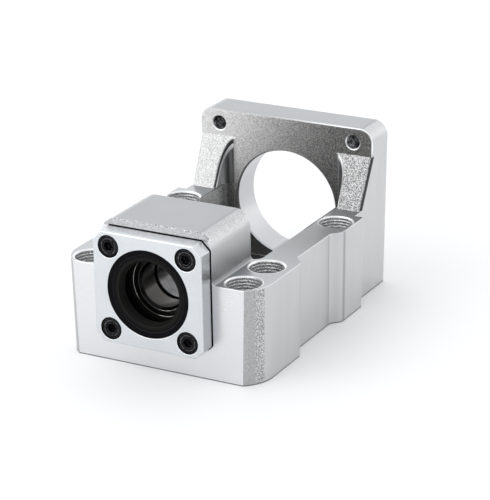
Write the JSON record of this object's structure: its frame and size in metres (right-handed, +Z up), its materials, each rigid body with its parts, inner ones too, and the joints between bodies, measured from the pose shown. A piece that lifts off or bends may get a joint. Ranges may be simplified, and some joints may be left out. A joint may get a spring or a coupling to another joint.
{
  "type": "bearing support",
  "caption": "Cast aluminium bearing support for a ball screw, with a bearing block, mounting rails and a motor plate in one casting, and a screwed square bearing cover.",
  "frame": {"origin": "on the mounting face, in the middle of the four front mounting holes, straight under the screw's axis", "axes": "+X across, +Y along the screw's axis from the bearing cover to the motor, +Z up from the mounting face"},
  "size_m": [0.0698, 0.1031, 0.057],
  "materials": {
    "cast_aluminium": "blasted cast skin with milled faces",
    "machined_aluminium": "milled, bright",
    "black_steel": "black oxide",
    "black_rubber": "satin",
    "bearing_steel": "ground",
    "cage_plastic": "moulded"
  },
  "bodies": {
    "support": {"support_casting": "cast_aluminium", "bearing_cover": "machined_aluminium", "cover_screw_top_left": "black_steel", "cover_screw_top_right": "black_steel", "cover_screw_bottom_left": "black_steel", "cover_screw_bottom_right": "black_steel", "front_seal": "black_rubber", "rear_seal": "black_rubber", "front_outer_race": "bearing_steel", "rear_outer_race": "bearing_steel", "front_shield": "black_rubber", "rear_shield": "black_rubber"},
    "front_race_body": {"front_inner_race": "bearing_steel"},
    "rear_race_body": {"rear_inner_race": "bearing_steel"},
    "front_cage_body": {"front_cage": "cage_plastic", "front_ball_1": "bearing_steel", "front_ball_2": "bearing_steel", "front_ball_3": "bearing_steel", "front_ball_4": "bearing_steel", "front_ball_5": "bearing_steel", "front_ball_6": "bearing_steel", "front_ball_7": "bearing_steel", "front_ball_8": "bearing_steel", "front_ball_9": "bearing_steel", "front_ball_10": "bearing_steel", "front_ball_11": "bearing_steel"},
    "rear_cage_body": {"rear_cage": "cage_plastic", "rear_ball_1": "bearing_steel", "rear_ball_2": "bearing_steel", "rear_ball_3": "bearing_steel", "rear_ball_4": "bearing_steel", "rear_ball_5": "bearing_steel", "rear_ball_6": "bearing_steel", "rear_ball_7": "bearing_steel", "rear_ball_8": "bearing_steel", "rear_ball_9": "bearing_steel", "rear_ball_10": "bearing_steel", "rear_ball_11": "bearing_steel"}
  },
  "joints": [
    {"name": "front_race_spin", "type": "hinge", "parent": "support", "child": "front_race_body", "pos_m": [0, -0.0062, 0.027], "axis": [0, 1, 0], "continuous": true},
    {"name": "front_cage_spin", "type": "hinge", "parent": "support", "child": "front_cage_body", "pos_m": [0, -0.0062, 0.027], "axis": [0, 1, 0], "continuous": true},
    {"name": "rear_race_spin", "type": "hinge", "parent": "support", "child": "rear_race_body", "pos_m": [0, 0.0028, 0.027], "axis": [0, 1, 0], "continuous": true},
    {"name": "rear_cage_spin", "type": "hinge", "parent": "support", "child": "rear_cage_body", "pos_m": [0, 0.0028, 0.027], "axis": [0, 1, 0], "continuous": true}
  ],
  "couplings": [
    {"joint": "front_cage_spin", "follows": "front_race_spin", "ratio": 0.412},
    {"joint": "rear_cage_spin", "follows": "rear_race_spin", "ratio": 0.412}
  ]
}
